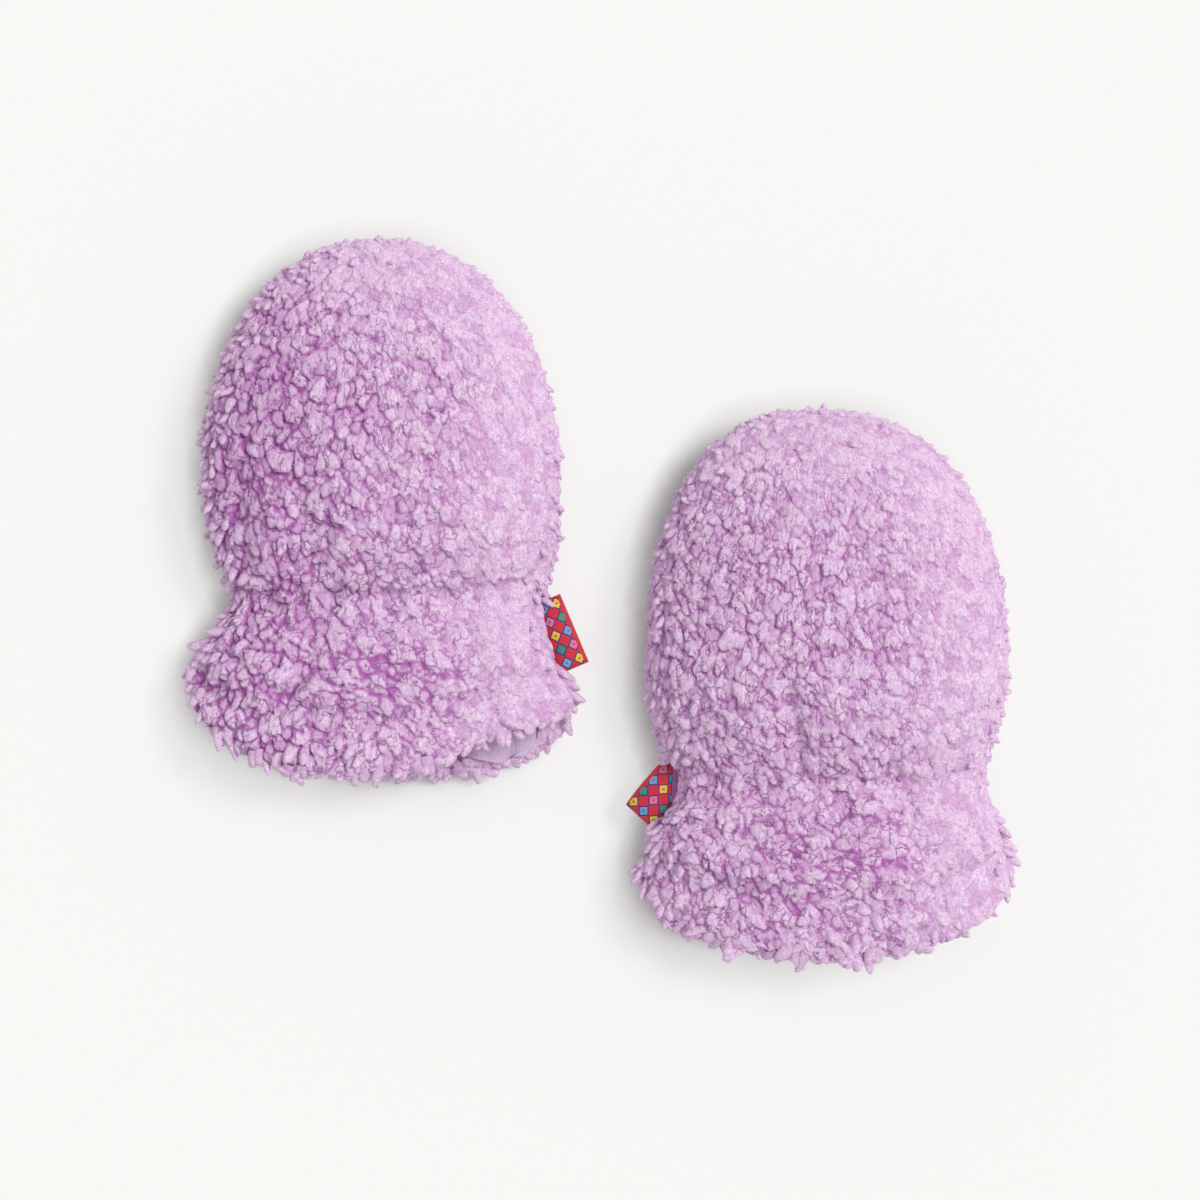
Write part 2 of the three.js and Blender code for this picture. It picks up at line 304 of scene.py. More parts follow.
class MittenSettings(bpy.types.PropertyGroup):
    """All the settings of the pair."""

    fleece: PointerProperty(type=FleeceSettings)
    lining: PointerProperty(type=LiningSettings)
    tab: PointerProperty(type=TabSettings)
    studio: PointerProperty(type=StudioSettings)


def settings():
    return bpy.context.scene.baby_mittens


# Meshes


def node_mesh(name):
    """The corners of a solid in millimetres, each one once, and its triangles."""
    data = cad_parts[name].data
    data.calc_loop_triangles()
    corners = np.empty(len(data.vertices) * 3)
    triangles = np.empty(len(data.loop_triangles) * 3, int)
    data.vertices.foreach_get("co", corners)
    data.loop_triangles.foreach_get("vertices", triangles)
    corners, same = np.unique(np.round(corners.reshape(-1, 3) / MM, 3), axis=0, return_inverse=True)
    return corners, same.reshape(-1)[triangles.reshape(-1, 3)]


def unit(vectors):
    return vectors / np.maximum(np.linalg.norm(vectors, axis=-1, keepdims=True), 1e-9)


def face_normals(corners, triangles):
    """The normals of the triangles, as long as twice their areas."""
    a, b, c = (corners[triangles[:, k]] for k in range(3))
    return np.cross(b - a, c - a)


def corner_normals(corners, triangles):
    """A smooth normal at each corner, from the triangles that are given."""
    total = np.zeros_like(corners)
    normals = face_normals(corners, triangles)
    for k in range(3):
        np.add.at(total, triangles[:, k], normals)
    return unit(total)


def outer_triangles(corners, triangles, tree):
    """Which triangles look out of the mitten: nothing lies before them."""
    middles = corners[triangles].mean(1)
    normals = unit(face_normals(corners, triangles))
    starts = middles + 0.05 * normals
    return np.array([tree.ray_cast(s, n)[0] is None for s, n in zip(starts, normals)])


def mesh_piece(name, points, faces, material):
    """A new piece from points in millimetres, smooth, riding on the body."""
    mesh = bpy.data.meshes.new(name)
    mesh.from_pydata((np.asarray(points) * MM).tolist(), [], np.asarray(faces).tolist())
    mesh.polygons.foreach_set("use_smooth", np.ones(len(mesh.polygons), bool))
    mesh.materials.append(material)
    mesh.update()
    piece = bpy.data.objects.new(name, mesh)
    bpy.context.scene.collection.objects.link(piece)
    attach(piece, BODY)
    return piece


def drift(points, size, seed):
    """Smooth random values from about -1 to 1 that change over that many millimetres."""
    rng = np.random.default_rng(seed)
    waves = 7
    directions = unit(rng.normal(size=(waves, 3))) * rng.uniform(0.6, 1.4, (waves, 1))
    phases = rng.uniform(0, 2 * np.pi, waves)
    return np.sin(points @ directions.T * (2 * np.pi / size) + phases).sum(1) / math.sqrt(waves)


# Materials


def new_material(name, roughness):
    """A material with its main shader, which is given back with its tree of nodes."""
    material = bpy.data.materials.new(name)
    material.use_nodes = True
    tree = material.node_tree
    shader = tree.nodes["Principled BSDF"]
    shader.inputs["Roughness"].default_value = roughness
    return material, tree, shader


def new_node(tree, kind, inputs=None, **settings_of_node):
    """A node with its settings, its inputs set to values or linked to sockets."""
    made = tree.nodes.new(kind)
    for key, value in settings_of_node.items():
        setattr(made, key, value)
    for key, value in (inputs or {}).items():
        if isinstance(value, bpy.types.NodeSocket):
            tree.links.new(value, made.inputs[key])
        else:
            made.inputs[key].default_value = value
    return made


def calculated(tree, operation, *values):
    inputs = dict(enumerate(values))
    return new_node(tree, "ShaderNodeMath", inputs, operation=operation).outputs[0]


def mixed(tree, share, first, second, blend="MIX"):
    """The second colour over the first."""
    made = tree.nodes.new("ShaderNodeMix")
    made.data_type = "RGBA"
    made.blend_type = blend
    for key, value in ((0, share), (6, first), (7, second)):
        if isinstance(value, bpy.types.NodeSocket):
            tree.links.new(value, made.inputs[key])
        elif key:
            made.inputs[key].default_value = (*value[:3], 1)
        else:
            made.inputs[key].default_value = value
    return made.outputs[2]


def mapped(tree, value, low, high, new_low=0.0, new_high=1.0):
    """A value from one range put smoothly into another."""
    inputs = {"Value": value, "From Min": low, "From Max": high, "To Min": new_low, "To Max": new_high}
    return new_node(tree, "ShaderNodeMapRange", inputs, interpolation_type="SMOOTHSTEP").outputs[0]


def noise(tree, vector, scale, detail=2.0, roughness=0.5):
    inputs = {"Vector": vector, "Scale": scale, "Detail": detail, "Roughness": roughness}
    return new_node(tree, "ShaderNodeTexNoise", inputs).outputs["Fac"]


def bumped(tree, shader, height, distance, strength=1.0):
    """Raises a shader's surface by a height, which is 1 at that distance in millimetres."""
    inputs = {"Height": height, "Distance": distance * MM, "Strength": strength}
    made = new_node(tree, "ShaderNodeBump", inputs)
    tree.links.new(made.outputs["Normal"], shader.inputs["Normal"])


def pile_material():
    """Matt fibres, pale at the tips and streaked along each tuft, with painted shade: purple painted at the roots,
    down in the creases, between the clumps and along the lobes' borders; painted highlights on the curls; the lit
    right and fingertips painted paler and the left mitten's upper left painted darker.
    """
    fleece = settings().fleece
    material, tree, shader = new_material("curly_pile", 0.9)
    place = new_node(tree, "ShaderNodeAttribute", attribute_name="pile").outputs["Vector"]
    parts = new_node(tree, "ShaderNodeSeparateXYZ", {0: place}).outputs
    # height is painted shade, 1 on the lock tops and falling into the creases and towards each tuft's root; tint is
    # random tone, raised at the lit right and fingertips as painted light and lowered at the left mitten's upper
    # left as painted shade; clump falls to 0 at a clump's border, where shade is painted
    height, tint, clump = parts["X"], parts["Y"], parts["Z"]
    creased = new_node(tree, "ShaderNodeAttribute", attribute_name="creased").outputs["Fac"]
    grain = new_node(tree, "ShaderNodeAttribute", attribute_name="grain").outputs["Vector"]
    where = new_node(tree, "ShaderNodeTexCoord").outputs["Object"]
    in_mm = new_node(tree, "ShaderNodeVectorMath", {0: where, "Scale": 1000.0}, operation="SCALE").outputs[0]
    wobble = new_node(tree, "ShaderNodeTexNoise", {"Vector": in_mm, "Scale": 0.35, "Detail": 2.0})
    inputs = {0: wobble.outputs["Color"], 1: (2.5, 2.5, 2.5), 2: grain}
    warped = new_node(tree, "ShaderNodeVectorMath", inputs, operation="MULTIPLY_ADD").outputs[0]
    streaks = noise(tree, warped, 1.3, 3.0, 0.65)
    inputs = {"Vector": in_mm, "Scale": 2.0, "Detail": 4.0, "Roughness": 0.75, "Distortion": 1.6}
    curls = new_node(tree, "ShaderNodeTexNoise", inputs).outputs["Fac"]
    ragged = new_node(tree, "ShaderNodeTexNoise", {"Vector": in_mm, "Scale": 1.1, "Detail": 3.0})
    inputs = {0: ragged.outputs["Color"], 1: (0.7, 0.7, 0.7), 2: warped}
    ragged = new_node(tree, "ShaderNodeVectorMath", inputs, operation="MULTIPLY_ADD").outputs[0]
    lobes = lobe_height(tree, ragged, 0.48, 0.13)
    fading = mapped(tree, noise(tree, in_mm, 0.3, 2.0), 0.38, 0.58, 0.2, 1.0)
    # creases: painted dark lines along the lobes' borders, painted shade, faded at random and also pressed into the
    # bump
    creases = calculated(tree, "MULTIPLY", fading, calculated(tree, "SUBTRACT", 1.0, lobes))
    creases = calculated(tree, "MULTIPLY", creases, creased)
    # Paler where the tint is high: partly random tone, partly painted light at the lit right and fingertips
    colour = mixed(tree, mapped(tree, tint, 0.2, 1.0, 0.0, 0.2), fleece.tip_colour, linear(254, 238, 254))
    # Deeper where the tint is low: painted shade at the left mitten's upper left
    colour = mixed(tree, mapped(tree, tint, -0.3, 0.2, 0.6, 0.0), colour, fleece.fibre_colour)
    # Darker in the low parts of the streaks, which the bump also lowers: partly fibre tone, partly painted shade
    colour = mixed(tree, mapped(tree, streaks, 0.35, 0.6, 0.6, 0.0), colour, fleece.fibre_colour)
    # Painted shade in the hollows of the curls and a painted highlight on their tops, where the bump raises them
    colour = mixed(tree, mapped(tree, curls, 0.36, 0.52, 1.0, 0.0), colour, fleece.fibre_colour)
    colour = mixed(tree, mapped(tree, curls, 0.5, 0.66, 0.0, 0.6), colour, linear(253, 242, 253))
    # Painted shade at the clumps' borders
    colour = mixed(tree, mapped(tree, clump, 0.0, 0.4, 0.35, 0.0), colour, fleece.crease_shade_colour)
    # Painted shade in the creases: the crease shade colour, darkened at random, deepening as the height falls
    deep = tuple(0.68 * c for c in fleece.crease_shade_colour)
    roots = mixed(tree, mapped(tree, curls, 0.36, 0.6), deep, tuple(1.15 * c for c in fleece.crease_shade_colour))
    colour = mixed(tree, mapped(tree, height, 0.0, 0.75, 0.95, 0.0), colour, roots)
    # Painted shade along the lobes' borders
    colour = mixed(tree, mapped(tree, creases, 0.0, 1.0, 0.0, 0.75), colour, deep)
    tree.links.new(colour, shader.inputs["Base Color"])
    relief = calculated(tree, "MULTIPLY_ADD", streaks, 0.7, calculated(tree, "MULTIPLY", curls, 1.0))
    relief = calculated(tree, "MULTIPLY_ADD", creases, -0.6, relief)
    bumped(tree, shader, relief, 0.4, 0.5)
    shader.inputs["Sheen Weight"].default_value = 0.2
    shader.inputs["Sheen Roughness"].default_value = 0.5
    shader.inputs["Sheen Tint"].default_value = (*linear(240, 190, 240), 1)
    shader.inputs["Specular IOR Level"].default_value = 0.2
    return material


def lobe_height(tree, vector, scale, width):
    """A height that is 0 in the creases between irregular lobes and 1 on them."""
    inputs = {"Vector": vector, "Scale": scale, "Randomness": 1.0}
    cells = new_node(tree, "ShaderNodeTexVoronoi", inputs, feature="DISTANCE_TO_EDGE")
    return mapped(tree, cells.outputs["Distance"], 0.0, width)


def backing_material():
    """The knitted ground that the pile stands on, painted deep purple between the tufts as painted shade, darker in
    the mottle's hollows.
    """
    fleece = settings().fleece
    material, tree, shader = new_material("fleece_backing", 0.95)
    place = new_node(tree, "ShaderNodeTexCoord").outputs["Object"]
    mottle = noise(tree, place, 900.0, 3.0)
    # Painted shade: darker than the crease shade colour, deep in the gaps
    deep = tuple(0.62 * c for c in fleece.crease_shade_colour)
    tree.links.new(mixed(tree, mottle, deep, fleece.crease_shade_colour), shader.inputs["Base Color"])
    bumped(tree, shader, mottle, 0.5, 0.6)
    shader.inputs["Sheen Weight"].default_value = 0.3
    return material


def lining_material():
    """Fine jersey: short columns of knit stitches, with painted shade in their hollows and a soft mottle."""
    lining = settings().lining
    material, tree, shader = new_material("jersey", 0.85)
    place = new_node(tree, "ShaderNodeTexCoord").outputs["Object"]
    pitch = 0.31416 / lining.stitch
    inputs = {"Vector": place, "Scale": pitch, "Distortion": 6.0, "Detail": 2.0, "Detail Scale": 3.0}
    columns = new_node(tree, "ShaderNodeTexWave", inputs, bands_direction="X").outputs["Fac"]
    loops = noise(tree, place, 2200.0, 3.0, 0.7)
    knit = calculated(tree, "MULTIPLY_ADD", columns, 0.3, loops)
    mottle = noise(tree, place, 300.0, 3.0, 0.6)
    # Darker where the knit is low, painted shade in the stitches' hollows, and at random in the mottle
    shade = calculated(tree, "MULTIPLY_ADD", knit, 0.7, calculated(tree, "MULTIPLY", mottle, 0.4))
    dark = tuple(0.68 * c for c in lining.colour)
    tree.links.new(mixed(tree, mapped(tree, shade, 0.3, 0.85), dark, lining.colour), shader.inputs["Base Color"])
    bumped(tree, shader, knit, 0.3, 0.5)
    shader.inputs["Sheen Weight"].default_value = 0.25
    return material


def ribbon_material():
    """A woven ribbon: rows of small diamonds on a plain ground, a plain edge at the fold, fine ribs, with painted
    shade in the hollows between the ribs and threads.
    """
    tab = settings().tab
    material, tree, shader = new_material("woven_ribbon", 0.65)
    place = new_node(tree, "ShaderNodeAttribute", attribute_name="weave").outputs["Vector"]
    parts = new_node(tree, "ShaderNodeSeparateXYZ", {0: place}).outputs
    counts, centred = [], []
    for part, pitch in ((parts["X"], DIAMOND_PITCH[0]), (parts["Y"], DIAMOND_PITCH[1])):
        steps = calculated(tree, "DIVIDE", part, pitch)
        counts.append(calculated(tree, "FLOOR", steps))
        share = calculated(tree, "FRACT", steps)
        centred.append(calculated(tree, "ABSOLUTE", calculated(tree, "SUBTRACT", share, 0.5)))
    reach = calculated(tree, "ADD", *centred)
    turn = calculated(tree, "MULTIPLY_ADD", counts[0], 0.25, calculated(tree, "MULTIPLY", counts[1], 0.5))
    ramp = new_node(tree, "ShaderNodeValToRGB", {0: calculated(tree, "FRACT", turn)})
    ramp.color_ramp.interpolation = "CONSTANT"
    for number, shade in enumerate(DIAMOND_COLOURS):
        elements = ramp.color_ramp.elements
        stop = elements[number] if number < 2 else elements.new(0.5)
        stop.position = number / len(DIAMOND_COLOURS)
        stop.color = (*shade, 1)
    colour = mixed(tree, calculated(tree, "LESS_THAN", reach, 0.5), tab.ground, DIAMOND_BORDER)
    colour = mixed(tree, calculated(tree, "LESS_THAN", reach, 0.38), colour, ramp.outputs["Color"])
    colour = mixed(tree, calculated(tree, "LESS_THAN", reach, 0.1), colour, tab.ground)
    colour = mixed(tree, calculated(tree, "LESS_THAN", parts["Y"], FOLD_EDGE), colour, tab.ground)
    rib = calculated(tree, "SINE", calculated(tree, "MULTIPLY", parts["X"], 2 * math.pi / RIB))
    thread = noise(tree, place, 3.0, 2.0, 0.7)
    rough = calculated(tree, "MULTIPLY_ADD", rib, 0.3, thread)
    # Painted shade: darker in the hollows between the ribs and along the low threads, where the bump is low
    colour = mixed(tree, mapped(tree, rough, 0.1, 0.75, 0.45, 0.0), colour, (0.02, 0.01, 0.03))
    tree.links.new(colour, shader.inputs["Base Color"])
    bumped(tree, shader, rough, 0.2, 0.5)
    shader.inputs["Sheen Weight"].default_value = 0.2
    return material


# The pile


def mitten_surface(side):
    """The outer triangles of a mitten's two panels: corners, smooth normals, triangles and which panel."""
    solids = [node_mesh(f"{side}_{panel}_panel") for panel in ("back", "palm")]
    starts = (0, len(solids[0][0]))
    every = np.concatenate([c for c, _ in solids])
    both = np.concatenate([t + s for (_, t), s in zip(solids, starts)])
    tree = BVHTree.FromPolygons([Vector(c) for c in every], both.tolist())
    kept = [t[outer_triangles(c, t, tree)] for c, t in solids]
    panel = np.concatenate([np.full(len(k), number) for number, k in enumerate(kept)])
    triangles = np.concatenate([k + s for k, s in zip(kept, starts)])
    every, same = np.unique(np.round(every, 2), axis=0, return_inverse=True)
    triangles = same.reshape(-1)[triangles]
    every = seam_closed(every, triangles)
    every, same = np.unique(np.round(every, 2), axis=0, return_inverse=True)
    triangles = same.reshape(-1)[triangles]
    whole = (triangles != np.roll(triangles, 1, axis=1)).all(1)
    triangles, panel = triangles[whole], panel[whole]
    return every, corner_normals(every, triangles), triangles, panel


def open_edge(triangles):
    """The numbers of the corners on the open edge of a surface."""
    sides = np.sort(triangles[:, [[0, 1], [1, 2], [2, 0]]].reshape(-1, 2), axis=1)
    sides, times = np.unique(sides, axis=0, return_counts=True)
    return np.unique(sides[times == 1])


def seam_closed(corners, triangles):
    """The corners with those that face each other across the side seam put together."""
    border = open_edge(triangles)
    tree = tree_of(corners[border])
    joined = corners.copy()
    for number in border:
        near = [other for _, other, _ in tree.find_range(corners[number], SEAM_GAP)]
        joined[number] = corners[border[sorted(near)]].mean(0)
    return joined


def halved(corners, normals, triangles, panel, longest):
    """The surface with each side longer than it may be cut in half, its new corners on the curve between."""
    sides = np.sort(triangles[:, [[0, 1], [1, 2], [2, 0]]].reshape(-1, 2), axis=1)
    sides, which = np.unique(sides, axis=0, return_inverse=True)
    a, b = corners[sides[:, 0]], corners[sides[:, 1]]
    first, second = normals[sides[:, 0]], normals[sides[:, 1]]
    between = unit(first + second)
    cut = np.linalg.norm(b - a, axis=1) > np.where(between[:, 2] < -0.5, 2 * longest, longest)
    bulge = ((b - a) * first).sum(1, keepdims=True) * first + ((a - b) * second).sum(1, keepdims=True) * second
    number = np.full(len(sides), -1)
    number[cut] = len(corners) + np.arange(cut.sum())
    corners = np.concatenate([corners, ((a + b) / 2 - bulge / 8)[cut]])
    normals = np.concatenate([normals, between[cut]])
    new = number[which.reshape(-1, 3)]
    cuts = (new >= 0).sum(1)
    parts, labels = [triangles[cuts == 0]], [panel[cuts == 0]]
    for turn in range(3):
        p, q, r = np.roll(triangles, -turn, axis=1).T
        m, n, o = np.roll(new, -turn, axis=1).T
        shapes = [((cuts == 1) & (m >= 0), ((p, m, r), (m, q, r)))]
        shapes.append(((cuts == 2) & (m >= 0) & (n >= 0), ((m, q, n), (p, m, n), (p, n, r))))
        if not turn:
            shapes.append((cuts == 3, ((p, m, o), (m, q, n), (o, n, r), (m, n, o))))
        for chosen, pieces in shapes:
            for piece in pieces:
                parts.append(np.stack(piece, axis=1)[chosen])
                labels.append(panel[chosen])
    return corners, normals, np.concatenate(parts), np.concatenate(labels), cut.any()


def refined(corners, normals, triangles, panel, longest):
    """The surface in small triangles, larger ones below."""
    more = True
    while more:
        corners, normals, triangles, panel, more = halved(corners, normals, triangles, panel, longest)
    return corners, normals, triangles, panel


def candidates(rng, corners, normals, triangles, count):
    """Random places spread evenly over triangles, with smooth normals and the triangle of each."""
    size = np.linalg.norm(face_normals(corners, triangles), axis=1)
    chosen = rng.choice(len(triangles), count, p=size / size.sum())
    u, v = rng.random((2, count, 1))
    over = u + v > 1
    u, v = np.where(over, 1 - u, u), np.where(over, 1 - v, v)
    shares = np.concatenate([1 - u - v, u, v], axis=1)[..., None]
    places = (corners[triangles[chosen]] * shares).sum(1)
    return places, unit((normals[triangles[chosen]] * shares).sum(1)), chosen


def tree_of(points):
    tree = KDTree(len(points))
    for number, point in enumerate(points):
        tree.insert(point, number)
    tree.balance()
    return tree


def thinned(points, spacing):
    """The numbers of the points that stay when each keeps the others its own spacing away."""
    tree = tree_of(points)
    free = np.ones(len(points), bool)
    kept = []
    for number, point in enumerate(points):
        if free[number]:
            kept.append(number)
            free[[other for _, other, _ in tree.find_range(point, spacing[number])]] = False
    return np.array(kept)


def clumps_of(points, size):
    """The clump that each tuft belongs to, and how near it is to the clump's border, from 0 at it to 1."""
    middles = points[thinned(points, np.full(len(points), size))]
    tree = tree_of(middles)
    found = [tree.find_n(point, 2) for point in points]
    own = np.array([pair[0][1] for pair in found])
    inside = np.array([pair[1][2] - pair[0][2] for pair in found]) / size
    return own, np.clip(inside, 0, 1)


def comb_of(mitten, places, normals, seed):
    """The way that the pile lies at each place, along the surface: fanned down the hand, outwards at the edges."""
    x, y = mitten["fingertips"]
    down = y - places[:, 1]
    fan = unit(np.stack([places[:, 0] - x, -down - FAN_RISE, np.zeros(len(down))], axis=1))
    swirl = np.stack([drift(places, 26.0, seed + k) for k in range(3)], axis=1)
    swirl += 0.6 * np.stack([drift(places, 9.0, seed + 10 + k) for k in range(3)], axis=1)
    middle = np.array([x, y - 70.0, 10.0])
    edge = (1 - np.abs(normals[:, 2:3])) ** 1.3
    cuff = crimp_share(mitten, places)[:, None]
    towards = fan * (1 - cuff) + 1.3 * cuff * np.array([1.0, -0.15, 0.0])
    towards = towards + 0.45 * swirl + 1.6 * edge * unit(places - middle)
    return unit(towards - (towards * normals).sum(1, keepdims=True) * normals)


def thick_and_lit_share(mitten, places):
    """How thick the pile stands: most at the right and at the fingertips, which face the key light, where the pile
    is also painted paler and less creased, as painted light.
    """
    x, y = mitten["fingertips"]
    right, down = places[:, 0] - x, y - places[:, 1]
    thick = 1 / (1 + np.exp(-(right - 24) / 6)) + 1 / (1 + np.exp((down - 14) / 6))
    return np.clip(thick, 0, 1)


def crimp_share(mitten, places):
    """How much the pile is combed across the cuff's middle."""
    x, y = mitten["fingertips"]
    right, down = places[:, 0] - x, y - places[:, 1]
    return np.exp(-(((right - 4) / 18) ** 2) - ((down - mitten["crease"] + 12) / 8) ** 2)


def grain_of(mitten, places):
    """Places stretched for the shader, so that its noise runs in streaks along the pile."""
    x, y = mitten["fingertips"]
    right, down = places[:, 0] - x, y - places[:, 1]
    away = np.hypot(right, down + FAN_RISE)
    turn = np.arctan2(right, down + FAN_RISE)
    return np.stack([turn * (FAN_RISE + 60), away * 0.42, places[:, 2]], axis=1)


def cells_of(mitten, corners, normals, triangles, seed):
    """The locks of the pile: where each stands, its directions, its size and the clump that it belongs to."""
    fleece = settings().fleece
    rng = np.random.default_rng(seed)
    places, facing, _ = candidates(rng, corners, normals, triangles, 26000)
    spacing = fleece.spacing / MM * (1 + 0.15 * drift(places, 16.0, seed))
    kept = thinned(places, np.where(facing[:, 2] < -0.6, 1.5, 1.0) * spacing)
    places, facing = places[kept], facing[kept]
    along = comb_of(mitten, places, facing, seed)
    clump, inside = clumps_of(places, fleece.clump / MM)
    return {
        "places": places,
        "normals": facing,
        "along": along,
        "across": np.cross(facing, along),
        "size": 0.22 * rng.normal(size=len(places)),
        "rise": 0.13 * rng.normal(size=len(places)),
        "tint": rng.random(len(places)),
        "clump": clump,
        "inside": inside,
    }


def lock_relief(mitten, places, cells, seed):
    """How each place lies in its lock: the lock, how far it is out of the creases, how far down the lock, and
    how far from the lock's border."""
    for amount, size in ((0.5, 6.0), (0.16, 2.2)):
        places = places + amount * np.stack([drift(places, size, seed + k) for k in range(30, 33)], axis=1)
    tree = tree_of(cells["places"])
    near = np.array([[other for _, other, _ in tree.find_n(p, NEIGHBOURS)] for p in places])
    away = places[:, None] - cells["places"][near]
    lead, side, up = ((away * cells[way][near]).sum(2) for way in ("along", "across", "normals"))
    stretch = LOCK_STRETCH + 0.9 * crimp_share(mitten, places)[:, None]
    far = np.sqrt((lead / stretch) ** 2 + side**2 + up**2) + cells["size"][near]
    order = np.argsort(far, axis=1)
    near, far, lead = (np.take_along_axis(values, order, axis=1) for values in (near, far, lead))
    own = near[:, :1]
    pair = np.minimum(own, near) * 7919 + np.maximum(own, near) * 104729
    chances = np.random.default_rng(seed).random(4093)[pair % 4093]
    apart = cells["clump"][own] != cells["clump"][near]
    deep = np.where(apart, 0.55 + 0.45 * chances, np.clip(1.5 * chances - 0.45, 0, 0.95))
    wide = np.where(apart, 1.05, 0.85) * CREASE
    out = np.ones(len(places))
    for other in range(1, 6):
        out *= 1 - deep[:, other] * np.exp(-(far[:, other] - far[:, 0]) / wide[:, other])
    return own[:, 0], out, lead[:, 0], 1 - np.exp(-(far[:, 1] - far[:, 0]) / CREASE)


def fold_depth(side, places):
    """How deep the folds press the pile in at each place."""
    total = np.zeros(len(places))
    for depth, width, *line in FOLDS[side]:
        near = np.full(len(places), 1e3)
        for start, end in zip(np.array(line[:-1], float), np.array(line[1:], float)):
            run = end - start
            share = np.clip((places[:, :2] - start) @ run / (run @ run), 0, 1)[:, None]
            near = np.minimum(near, np.linalg.norm(places[:, :2] - start - share * run, axis=1))
        total += depth * np.exp(-((near / width) ** 2)) * (places[:, 2] > 14)
    return total


def bare_share(mitten, places):
    """How bare each place is kept, from 0 to 1."""
    total = np.zeros(len(places))
    for *middle, reach in mitten["bare"]:
        total = np.maximum(total, np.exp(-((np.linalg.norm(places - middle, axis=1) / reach) ** 2)))
    return total


def mouth_share(mitten, places):
    """How much each place lies in the open mouth, seen from above, from 0 to 1."""
    if not mitten["mouth"]:
        return np.zeros(len(places))
    x, y, wide, long = mitten["mouth"]
    far = np.hypot((places[:, 0] - x) / wide, (places[:, 1] - y) / long)
    return np.clip((1.06 - far) / 0.12, 0, 1) * (places[:, 2] < 13)


def drawn_out(mitten, corners):
    """The palm's lining with its hem end drawn out over the fleece where the mouth gapes."""
    if not mitten["mouth"]:
        return corners
    x, y, wide, long = mitten["mouth"]
    bins = np.round(corners[:, 0] / 2).astype(int)
    ends = np.array([corners[bins == number, 1].min() for number in np.unique(bins)])
    end = np.interp(corners[:, 0], 2 * np.unique(bins), ends)
    across = np.abs(corners[:, 0] - x - 1) / (wide + 1.5)
    target = y - (long + 0.6) * np.sqrt(np.clip(1 - across**2, 0, 1))
    share = np.clip(1.7 - (corners[:, 1] - end), 0, 1) * np.clip((1 - across) * 5, 0, 1)
    shift = np.minimum(target - end, 0) * share
    return corners + shift[:, None] * np.array([0.0, 1.0, 0.2])


def edge_distance(corners, triangles, most):
    """How far each corner is from the surface's open edge, up to a distance."""
    border = corners[open_edge(triangles)]
    if not len(border):
        return np.full(len(corners), most)
    tree = tree_of(border)
    return np.minimum([tree.find(corner)[2] for corner in corners], most)


def finger_tufts(rng, roots, ways, flat, length, width):
    """Tapered locks that stand out from the pile: their points and how far along each point lies."""
    count = len(roots)
    shares, widths = np.array(FINGER_RINGS).T
    across = unit(np.cross(ways, flat))
    thick = np.cross(ways, across)
    bend = 0.22 * rng.normal(size=(count, 1)) * across + 0.15 * rng.normal(size=(count, 1)) * thick
    turns = np.arange(FINGER_SIDES) * 2 * np.pi / FINGER_SIDES
    grooves = 1 + 0.12 * np.cos(3 * turns + rng.uniform(0, 2 * np.pi, (count, 1)))
    stops = np.concatenate([shares, [1.0]])
    spine = ways[:, None] * stops[:, None] + bend[:, None] * (np.maximum(stops, 0) ** 2)[:, None]
    spine = roots[:, None] + spine * length[:, None, None]
    ring = across[:, None] * np.cos(turns)[:, None] + 0.75 * thick[:, None] * np.sin(turns)[:, None]
    ring = ring * (grooves * width[:, None] / 2)[..., None]
    rings = spine[:, :-1, None] + ring[:, None] * widths[:, None, None]
    points = np.concatenate([rings.reshape(count, -1, 3), spine[:, -1:]], axis=1)
    along = np.concatenate([np.repeat(shares, FINGER_SIDES), [1.0]])
    around = np.arange(FINGER_SIDES)
    after = (around + 1) % FINGER_SIDES
    faces = []
    for number in range(len(shares) - 1):
        low, high = number * FINGER_SIDES, (number + 1) * FINGER_SIDES
        faces.append(np.stack([low + around, low + after, high + after], axis=1))
        faces.append(np.stack([low + around, high + after, high + around], axis=1))
    last = (len(shares) - 1) * FINGER_SIDES
    faces.append(np.stack([last + around, last + after, np.full(FINGER_SIDES, points.shape[1] - 1)], axis=1))
    faces = np.concatenate(faces)
    faces = (faces + (np.arange(count) * points.shape[1])[:, None, None]).reshape(-1, 3)
    return points, np.tile(along, (count, 1)), faces


